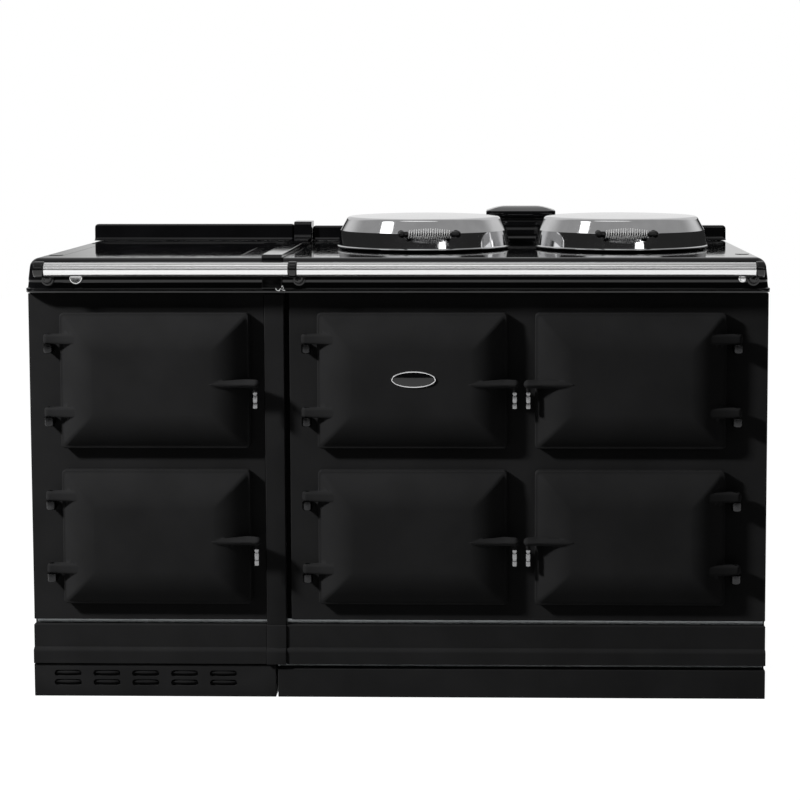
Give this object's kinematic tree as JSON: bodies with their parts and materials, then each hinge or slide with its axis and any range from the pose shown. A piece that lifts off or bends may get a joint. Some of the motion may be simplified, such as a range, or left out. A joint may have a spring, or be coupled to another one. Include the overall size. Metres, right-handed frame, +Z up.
{
  "type": "range cooker",
  "caption": "Double-width black cast iron range cooker with hinged oven doors, domed chrome hob lids, a ceramic hob glass, towel rails and a rear flue vent.",
  "frame": {"origin": "on the floor under the middle of the overall box", "axes": "+X to the right seen from the front, +Y to the back, +Z up"},
  "size_m": [1.49, 0.706, 0.973],
  "materials": {
    "satin_black_iron": "satin black vitreous enamel on cast iron",
    "gloss_black_enamel": "gloss black vitreous enamel on cast iron",
    "dark_bracket": "gloss black painted metal",
    "polished_chrome": "polished chrome",
    "polished_steel": "polished steel",
    "insulated_liner": "satin metal tray over insulation",
    "insulated_casing": "galvanised casing packed with mineral wool",
    "oven_enamel": "dark speckled oven enamel",
    "black_glass": "gloss black ceramic glass",
    "bare_iron": "machined bare iron"
  },
  "bodies": {
    "cooker_body": {"left_plinth": "satin_black_iron", "main_plinth": "satin_black_iron", "left_skirt": "satin_black_iron", "main_skirt": "satin_black_iron", "left_front_casting": "satin_black_iron", "main_front_casting": "satin_black_iron", "joint_pilaster": "satin_black_iron", "left_side_panel": "satin_black_iron", "right_side_panel": "satin_black_iron", "left_top_plate": "gloss_black_enamel", "main_top_plate": "gloss_black_enamel", "left_upstand": "gloss_black_enamel", "main_upstand": "gloss_black_enamel", "joint_strip": "gloss_black_enamel", "flue_vent": "gloss_black_enamel", "left_lid_hinge_bracket": "dark_bracket", "right_lid_hinge_bracket": "dark_bracket", "left_rail_bracket": "dark_bracket", "centre_rail_bracket": "dark_bracket", "right_rail_bracket": "dark_bracket", "left_towel_rail": "polished_steel", "main_towel_rail": "polished_steel", "roasting_oven_shelf": "polished_steel", "left_carcass": "insulated_casing", "main_carcass": "insulated_casing", "upper_warming_oven_liner": "oven_enamel", "lower_warming_oven_liner": "oven_enamel", "baking_oven_liner": "oven_enamel", "roasting_oven_liner": "oven_enamel", "simmering_oven_liner": "oven_enamel", "ceramic_hob_glass": "black_glass", "control_panel": "black_glass", "boiling_plate": "bare_iron", "simmering_plate": "bare_iron"},
    "upper_warming_door_body": {"upper_warming_door": "satin_black_iron", "upper_warming_door_handle": "polished_chrome", "upper_warming_door_liner": "insulated_liner"},
    "lower_warming_door_body": {"lower_warming_door": "satin_black_iron", "lower_warming_door_handle": "polished_chrome", "lower_warming_door_liner": "insulated_liner"},
    "control_door_body": {"control_door": "satin_black_iron", "control_door_handle": "polished_chrome"},
    "baking_door_body": {"baking_door": "satin_black_iron", "baking_door_handle": "polished_chrome", "baking_door_liner": "insulated_liner"},
    "roasting_door_body": {"roasting_door": "satin_black_iron", "roasting_door_handle": "polished_chrome", "roasting_door_liner": "insulated_liner"},
    "simmering_door_body": {"simmering_door": "satin_black_iron", "simmering_door_handle": "polished_chrome", "simmering_door_liner": "insulated_liner"},
    "left_lid_body": {"left_lid": "polished_chrome", "left_lid_liner": "insulated_liner", "left_lid_handle_frame": "dark_bracket", "left_lid_handle_coil": "polished_chrome"},
    "right_lid_body": {"right_lid": "polished_chrome", "right_lid_liner": "insulated_liner", "right_lid_handle_frame": "dark_bracket", "right_lid_handle_coil": "polished_chrome"},
    "hob_button_body": {"hob_button": "polished_chrome"}
  },
  "joints": [
    {"name": "upper_warming_door_hinge", "type": "hinge", "parent": "cooker_body", "child": "upper_warming_door_body", "pos_m": [-0.694, -0.301, 0.646], "axis": [0, 0, -1], "range_deg": [0, 115]},
    {"name": "lower_warming_door_hinge", "type": "hinge", "parent": "cooker_body", "child": "lower_warming_door_body", "pos_m": [-0.694, -0.301, 0.33], "axis": [0, 0, -1], "range_deg": [0, 115]},
    {"name": "control_door_hinge", "type": "hinge", "parent": "cooker_body", "child": "control_door_body", "pos_m": [-0.1795, -0.301, 0.646], "axis": [0, 0, -1], "range_deg": [0, 115]},
    {"name": "baking_door_hinge", "type": "hinge", "parent": "cooker_body", "child": "baking_door_body", "pos_m": [-0.1795, -0.301, 0.33], "axis": [0, 0, -1], "range_deg": [0, 115]},
    {"name": "roasting_door_hinge", "type": "hinge", "parent": "cooker_body", "child": "roasting_door_body", "pos_m": [0.6755, -0.301, 0.646], "axis": [0, 0, 1], "range_deg": [0, 115]},
    {"name": "simmering_door_hinge", "type": "hinge", "parent": "cooker_body", "child": "simmering_door_body", "pos_m": [0.6755, -0.301, 0.33], "axis": [0, 0, 1], "range_deg": [0, 115]},
    {"name": "left_lid_hinge", "type": "hinge", "parent": "cooker_body", "child": "left_lid_body", "pos_m": [0.0415, 0.263, 0.913], "axis": [-1, 0, 0], "range_deg": [0, 95]},
    {"name": "right_lid_hinge", "type": "hinge", "parent": "cooker_body", "child": "right_lid_body", "pos_m": [0.4655, 0.263, 0.913], "axis": [-1, 0, 0], "range_deg": [0, 95]},
    {"name": "hob_button_press", "type": "slide", "parent": "cooker_body", "child": "hob_button_body", "axis": [0, 1, 0], "range_m": [0, 0.003], "stiffness_N_per_m": 400}
  ]
}
